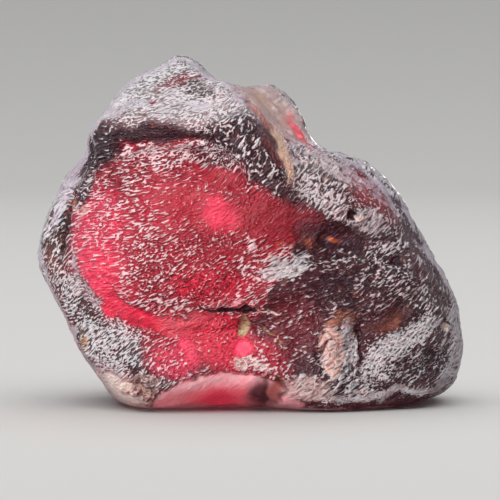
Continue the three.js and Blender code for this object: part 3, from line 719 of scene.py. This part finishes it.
def runAt(place, normal):  # the way the fine etching runs over the surface
    cos = sin = 0
    for angle, middle, reach in stone["flows"]:
        weight = math.exp(-((place - Vector(middle)).length / reach) ** 2)
        cos += weight * math.cos(math.radians(2 * angle))
        sin += weight * math.sin(math.radians(2 * angle))
    turn = math.atan2(sin, cos) / 2
    front = Vector((math.cos(turn), 0, math.sin(turn)))
    facing = max(abs(normal.y), stone["leastFacing"])
    seen = front * facing - Vector((0, math.copysign(front.dot(normal), front.dot(normal) * normal.y), 0))
    run = (front + stone["sideLean"]).lerp(seen, fade(abs(normal.y), *stone["sideEnds"]))
    return (run - normal * run.dot(normal)).normalized()


def grooveRise(place, look, back):
    waves, reach = stone["grooveWander"]
    drift = noise.noise_vector(place * waves) * reach
    rise = 0
    for groove in grooves:
        side = back if "back" in groove else 1 - back
        if side == 0:
            continue
        away = lineDistance(place.x + drift.x, place.z + drift.z, groove["path"]) / groove["width"]
        if away < stone["felt"]:
            rise += groove["rise"] * math.exp(-away * away) * side
            addStain(look, groove, (1 - fade(away, *stone["grooveStain"])) * side)
    return rise


def markRise(place, look):
    waves, reach = stone["markWander"]
    share, middle, width = stone["moat"]
    rise = 0
    for mark in marks:
        gap = place - Vector(mark["at"])
        if "back" in mark:
            if place.y <= stone["backEnds"][0]:
                continue
            gap.y = 0
        away = gap.length / mark["size"]
        if away < stone["felt"]:
            away *= 1 + reach * noise.noise(place * waves)
            rise += mark["rise"] * math.exp(-away ** 4)
            inner = 1
            if "ringed" in mark:
                rise -= mark["rise"] * share * math.exp(-((away - middle) / width) ** 2)
                inner = fade(away, *stone["bareTop"])
            addStain(look, mark, inner * (1 - fade(away, *stone["markStain"])))
    return rise


def reliefAt(place, look):
    scales = scalesAt(place) * look["etch"]
    back = fade(place.y, *stone["backEnds"])
    waves, height = stone["swell"]
    swell = noise.noise(place * waves) * height * back
    return scales + swell + grooveRise(place, look, back) + markRise(place, look), scales


def fitToBox(shape):
    low, high = [Vector(corner) for corner in cadBox]
    for axis in range(3):
        reach = [vert.co[axis] for vert in shape.verts]
        least, most = min(reach), max(reach)
        if least < low[axis] or most > high[axis]:
            share = (high[axis] - low[axis]) / (most - least)
            for vert in shape.verts:
                vert.co[axis] = low[axis] + (vert.co[axis] - least) * share


def refine(shape):  # finer where the small marks are, then rounded off
    tiny = stone["tiny"] * mm
    bmesh.ops.remove_doubles(shape, verts=shape.verts, dist=tiny)
    bmesh.ops.subdivide_edges(shape, edges=shape.edges, cuts=stone["cuts"], use_grid_fill=True)
    near = {vert for vert in shape.verts
            if any((vert.co / mm - Vector(at)).length < reach for at, reach in fineSpots)}
    edges = [edge for edge in shape.edges if edge.verts[0] in near and edge.verts[1] in near]
    bmesh.ops.subdivide_edges(shape, edges=edges, cuts=1, use_grid_fill=True)
    free = [vert for vert in shape.verts if vert.co.z > tiny]
    rounds, strength = stone["smoothing"]
    for _ in range(rounds):
        bmesh.ops.smooth_vert(shape, verts=free, factor=strength,
                              use_axis_x=True, use_axis_y=True, use_axis_z=True)
    shape.normal_update()


def carve(shape, tint, stain, run, grain):
    spots = []
    for vert in shape.verts:
        place = vert.co / mm
        look = looksAt(place, vert.normal)
        rise, scales = reliefAt(place, look)
        rise *= fade(place.z, 0, stone["skirt"])
        vert[tint] = (*look["tone"], min(max(look["frostAndGlint"] * (1 + stone["crestFrostAndGlint"] * scales), 0), 1))
        vert[stain] = (*look["stain"], look["stained"])
        way = vert[run] = runAt(place, vert.normal)
        least = 1 - (1 - stone["leastRun"]) * fade(-vert.normal.y, *stone["frontTurn"])
        vert[grain] = (look["grain"], look["etch"], look["dash"] / max(math.hypot(way.x, way.z), least))
        spots.append(vert.co + vert.normal * rise * mm)
    for vert, spot in zip(shape.verts, spots):
        if vert.co.z > stone["tiny"] * mm:
            vert.co = spot
            vert.co.z = max(vert.co.z, stone["lift"] * mm)


def buildStone():
    noise.seed_set(stone["seed"])
    shape = bmesh.new()
    shape.from_mesh(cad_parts[stone["node"]].data)
    tint = shape.verts.layers.float_color.new("tint")  # body colour, and how much frost, with its painted glint
    stain = shape.verts.layers.float_color.new("stain")  # stain colour, and how much of it
    run = shape.verts.layers.float_vector.new("run")  # direction of the etching
    grain = shape.verts.layers.float_vector.new("grain")  # its size, depth and length
    refine(shape)
    carve(shape, tint, stain, run, grain)
    fitToBox(shape)
    bmesh.ops.recalc_face_normals(shape, faces=shape.faces)
    mesh = bpy.data.meshes.new("garnetStone")
    shape.to_mesh(mesh)
    shape.free()
    mesh.shade_smooth()
    piece = bpy.data.objects.new("garnetStone", mesh)
    scene.collection.objects.link(piece)
    return piece


# the stone's finish

finish = {
    "streak": (0.46, 0.16),  # length and width of the finest etching, in millimetres
    "streakRise": 0.16,  # in millimetres
    "bump": (0.35, 2.0),  # shares of the frost's thickness and of the etching in it
    "cell": 2.4,  # across the plots in which the etching keeps one direction, in millimetres
    "plotGap": 90,  # keeps the plots apart in the noise
    "shadowCaster": (-0.03, 0.0, 0.09),  # how far the scales overhang the painted shadow under them, in millimetres
    "cut": (-0.5, 0.75),  # turns a share of frost or stain into the level that the noise has to pass
    "crisp": 0.035,  # softness of the edges of the frost
    "frostAndGlint": (0.86, 0.89, 0.91),  # on the crests of the etching: partly pale frost, partly a painted highlight
    "shadedFrost": (0.42, 0.43, 0.45),  # in its hollows, as painted shade
    "crests": (0.5, 0.12),  # level between the two, and its softness
    "grit": (5.0, 2.0),  # grains to the millimetre in the frost, and their detail
    "gritShare": 0.5,
    "calm": 0.6,  # how light the frost stays where there is little etching
    "veil": 0.25,  # how far it hides the body at its edges
    "veilEnds": (0.05, 0.06),
    "thin": 0.25,  # how dark the painted shade at the bottoms of the etching is
    "shade": 0.6,  # how dark the bottoms of the etching are
    "bottoms": (0.5, 0.1),
    "mottle": (2.2, 3.0),  # blotches to the millimetre in the stains, and their detail
    "blend": 0.17,  # softness of their edges
    "tarnish": 0.28,  # how much darker painted shade makes the stains in the hollows
    "hollows": (0.47, 0.12),
    # colour of the painted shadow under the scales
    "shadowColour": (0.01, 0.004, 0.006),
    "shadowStep": (0.1, 0.06),  # how high a scale stands over the painted shadow under it
    "paintedShadow": 0.6,  # how much that painted shadow covers
    "gloss": (0.42, 0.34),  # roughness of bare and of frosted crystal
    "specular": 0.05,
    "specularTint": (0.50, 0.47, 0.50),  # keeps a grey sheen off the darks
    "ior": 1.74,
    "transmission": 0.5,
    "glow": (0.9, 0.1, 0.17),  # colour of the light that gets through
    "density": 90,
}


def newGroup(name, inputs, output):
    group = bpy.data.node_groups.new(name, "ShaderNodeTree")
    for label, kind in inputs:
        group.interface.new_socket(label, in_out="INPUT", socket_type="NodeSocket" + kind)
    group.interface.new_socket(output, in_out="OUTPUT", socket_type="NodeSocketFloat")
    return group, group.nodes.new("NodeGroupInput").outputs, group.nodes.new("NodeGroupOutput").inputs


def calculate(tree, operation, *values):
    return addNode(tree, "ShaderNodeMath", {"operation": operation}, dict(enumerate(values))).outputs[0]


def vectors(tree, operation, *values):
    return addNode(tree, "ShaderNodeVectorMath", {"operation": operation},
                   dict(enumerate(values))).outputs[0]


def scaled(tree, vector, size):
    return addNode(tree, "ShaderNodeVectorMath", {"operation": "SCALE"},
                   {0: vector, "Scale": size}).outputs[0]


def mixNumbers(tree, share, a, b):
    return addNode(tree, "ShaderNodeMix", {"data_type": "FLOAT"}, {0: share, 2: a, 3: b}).outputs[0]


def mixColours(tree, share, a, b):
    return addNode(tree, "ShaderNodeMix", {"data_type": "RGBA"}, {0: share, 6: a, 7: b}).outputs[2]


def step(tree, value, middle, softness):
    return addNode(tree, "ShaderNodeMapRange", {"interpolation_type": "SMOOTHSTEP"}, {
        "Value": value, "From Min": calculate(tree, "SUBTRACT", middle, softness),
        "From Max": calculate(tree, "ADD", middle, softness)}).outputs[0]


def blotches(tree, place, scale, detail):
    return addNode(tree, "ShaderNodeTexNoise", (), {
        "Vector": place, "Scale": scale, "Detail": detail, "Roughness": 0.6}).outputs["Fac"]


def readFrom(tree, attribute):
    return addNode(tree, "ShaderNodeAttribute", {"attribute_name": attribute}).outputs


def makeStreakGroup():
    group, given, result = newGroup("etchedStreaks", [
        ("Place", "Vector"), ("Run", "Vector"), ("Length", "Float"), ("Width", "Float"),
        ("Cell", "Float")], "Height")
    plots = addNode(group, "ShaderNodeTexVoronoi", (), {
        "Vector": given["Place"], "Scale": calculate(group, "DIVIDE", 1.0, given["Cell"])}).outputs
    inside = vectors(group, "SUBTRACT", given["Place"], plots["Position"])
    along = addNode(group, "ShaderNodeVectorMath", {"operation": "DOT_PRODUCT"},
                    {0: inside, 1: given["Run"]}).outputs[1]
    longways, crossways = [calculate(group, "DIVIDE", 1.0, given[side]) for side in ("Length", "Width")]
    stretch = calculate(group, "MULTIPLY", along, calculate(group, "SUBTRACT", longways, crossways))
    spot = vectors(group, "MULTIPLY_ADD", given["Run"], stretch, scaled(group, inside, crossways))
    spot = vectors(group, "MULTIPLY_ADD", plots["Color"], [finish["plotGap"]] * 3, spot)
    pattern = addNode(group, "ShaderNodeTexNoise", (), {
        "Vector": spot, "Scale": 1.0, "Detail": 2.0, "Roughness": 0.5, "Distortion": 0.1}).outputs["Fac"]
    group.links.new(pattern, result["Height"])
    return group


def addEtching(tree, place, size, dash):  # raised dashes, or lens-shaped pits where they run together
    length, width = [calculate(tree, "MULTIPLY", size, side) for side in finish["streak"]]
    length = calculate(tree, "MULTIPLY", length, dash)
    run = readFrom(tree, "run")["Vector"]
    streaks = makeStreakGroup()
    # the second copy, shifted up, casts the painted shadow under each scale
    return [addNode(tree, "ShaderNodeGroup", {"node_tree": streaks}, {
        "Place": spot, "Run": run, "Length": length, "Width": width, "Cell": finish["cell"]}).outputs[0]
        for spot in (place, vectors(tree, "ADD", place, finish["shadowCaster"]))]


def paintStone(piece):
    material = bpy.data.materials.new("etchedPyrope")
    material.use_nodes = True
    tree = material.node_tree
    surface = tree.nodes["Principled BSDF"]
    place = scaled(tree, addNode(tree, "ShaderNodeTexCoord").outputs["Object"], 1 / mm)
    tint = readFrom(tree, "tint")
    stain = readFrom(tree, "stain")
    grain = readFrom(tree, "grain")["Vector"]
    size, etch, dash = addNode(tree, "ShaderNodeSeparateXYZ", (), {0: grain}).outputs
    streak, shadowCaster = addEtching(tree, place, size, dash)
    grit = blotches(tree, place, *finish["grit"])
    grit = calculate(tree, "MULTIPLY_ADD", grit, finish["gritShare"], -finish["gritShare"] / 2)
    bright = calculate(tree, "ADD", streak, grit)
    deep = calculate(tree, "MINIMUM", etch, 1.0)
    black = (0, 0, 0, 1)

    # the body, with painted shade at the bottoms of the etching
    shade = calculate(tree, "MULTIPLY", deep, finish["shade"])
    bottom = mixColours(tree, shade, tint["Color"], black)
    body = mixColours(tree, step(tree, streak, *finish["bottoms"]), bottom, tint["Color"])

    # the frost, a veil at its edges, lighter on its crests and darker in its hollows: partly pale frosted
    # skin, partly painted highlight and shade
    level = calculate(tree, "MULTIPLY_ADD", tint["Alpha"], *finish["cut"])
    frostAndGlintMask = step(tree, streak, level, finish["crisp"])
    beyond, softness = finish["veilEnds"]
    thick = step(tree, streak, calculate(tree, "ADD", level, beyond), softness)
    cover = calculate(tree, "MULTIPLY", frostAndGlintMask, mixNumbers(tree, thick, finish["veil"], 1.0))
    lit = mixNumbers(tree, deep, finish["calm"], step(tree, bright, *finish["crests"]))
    white = mixColours(tree, lit, (*finish["shadedFrost"], 1), (*finish["frostAndGlint"], 1))
    white = mixColours(tree, finish["thin"], white, tint["Color"])
    colour = mixColours(tree, cover, body, white)

    # stains in blotches, with painted shade in the hollows
    mottle = blotches(tree, place, *finish["mottle"])
    hollow = calculate(tree, "MULTIPLY_ADD", step(tree, bright, *finish["hollows"]),
                       -finish["tarnish"], finish["tarnish"])
    tarnish = mixColours(tree, calculate(tree, "MULTIPLY", hollow, deep), stain["Color"], black)
    level = calculate(tree, "MULTIPLY_ADD", stain["Alpha"], *finish["cut"])
    colour = mixColours(tree, step(tree, mottle, level, finish["blend"]), colour, tarnish)

    # painted shadow under the edges of the scales
    shadowStep = step(tree, calculate(tree, "SUBTRACT", shadowCaster, streak), *finish["shadowStep"])
    paintedShadow = calculate(tree, "MULTIPLY", calculate(tree, "MULTIPLY", shadowStep, deep), finish["paintedShadow"])
    colour = mixColours(tree, paintedShadow, colour, (*finish["shadowColour"], 1))
    tree.links.new(colour, surface.inputs["Base Color"])
    tree.links.new(mixNumbers(tree, frostAndGlintMask, *finish["gloss"]), surface.inputs["Roughness"])

    frostShare, etchShare = finish["bump"]
    height = calculate(tree, "MULTIPLY_ADD", frostAndGlintMask, frostShare,
                       calculate(tree, "MULTIPLY", streak, etchShare))
    bump = addNode(tree, "ShaderNodeBump", (), {
        "Height": calculate(tree, "MULTIPLY", height, etch),
        "Distance": finish["streakRise"] * mm}).outputs[0]
    tree.links.new(bump, surface.inputs["Normal"])
    surface.inputs["IOR"].default_value = finish["ior"]
    surface.inputs["Specular IOR Level"].default_value = finish["specular"]
    surface.inputs["Specular Tint"].default_value = (*finish["specularTint"], 1)
    surface.inputs["Transmission Weight"].default_value = finish["transmission"]
    absorb = addNode(tree, "ShaderNodeVolumeAbsorption", (),
                     {"Color": (*finish["glow"], 1), "Density": finish["density"]}).outputs[0]
    tree.links.new(absorb, tree.nodes["Material Output"].inputs["Volume"])
    piece.data.materials.append(material)


piece = buildStone()
print("stone shaped:", len(piece.data.polygons), "faces")
paintStone(piece)
for lamp in lamps:
    lightOnly(lamp, piece)
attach(piece, "root")
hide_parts(stone["node"])
print("stone finished")
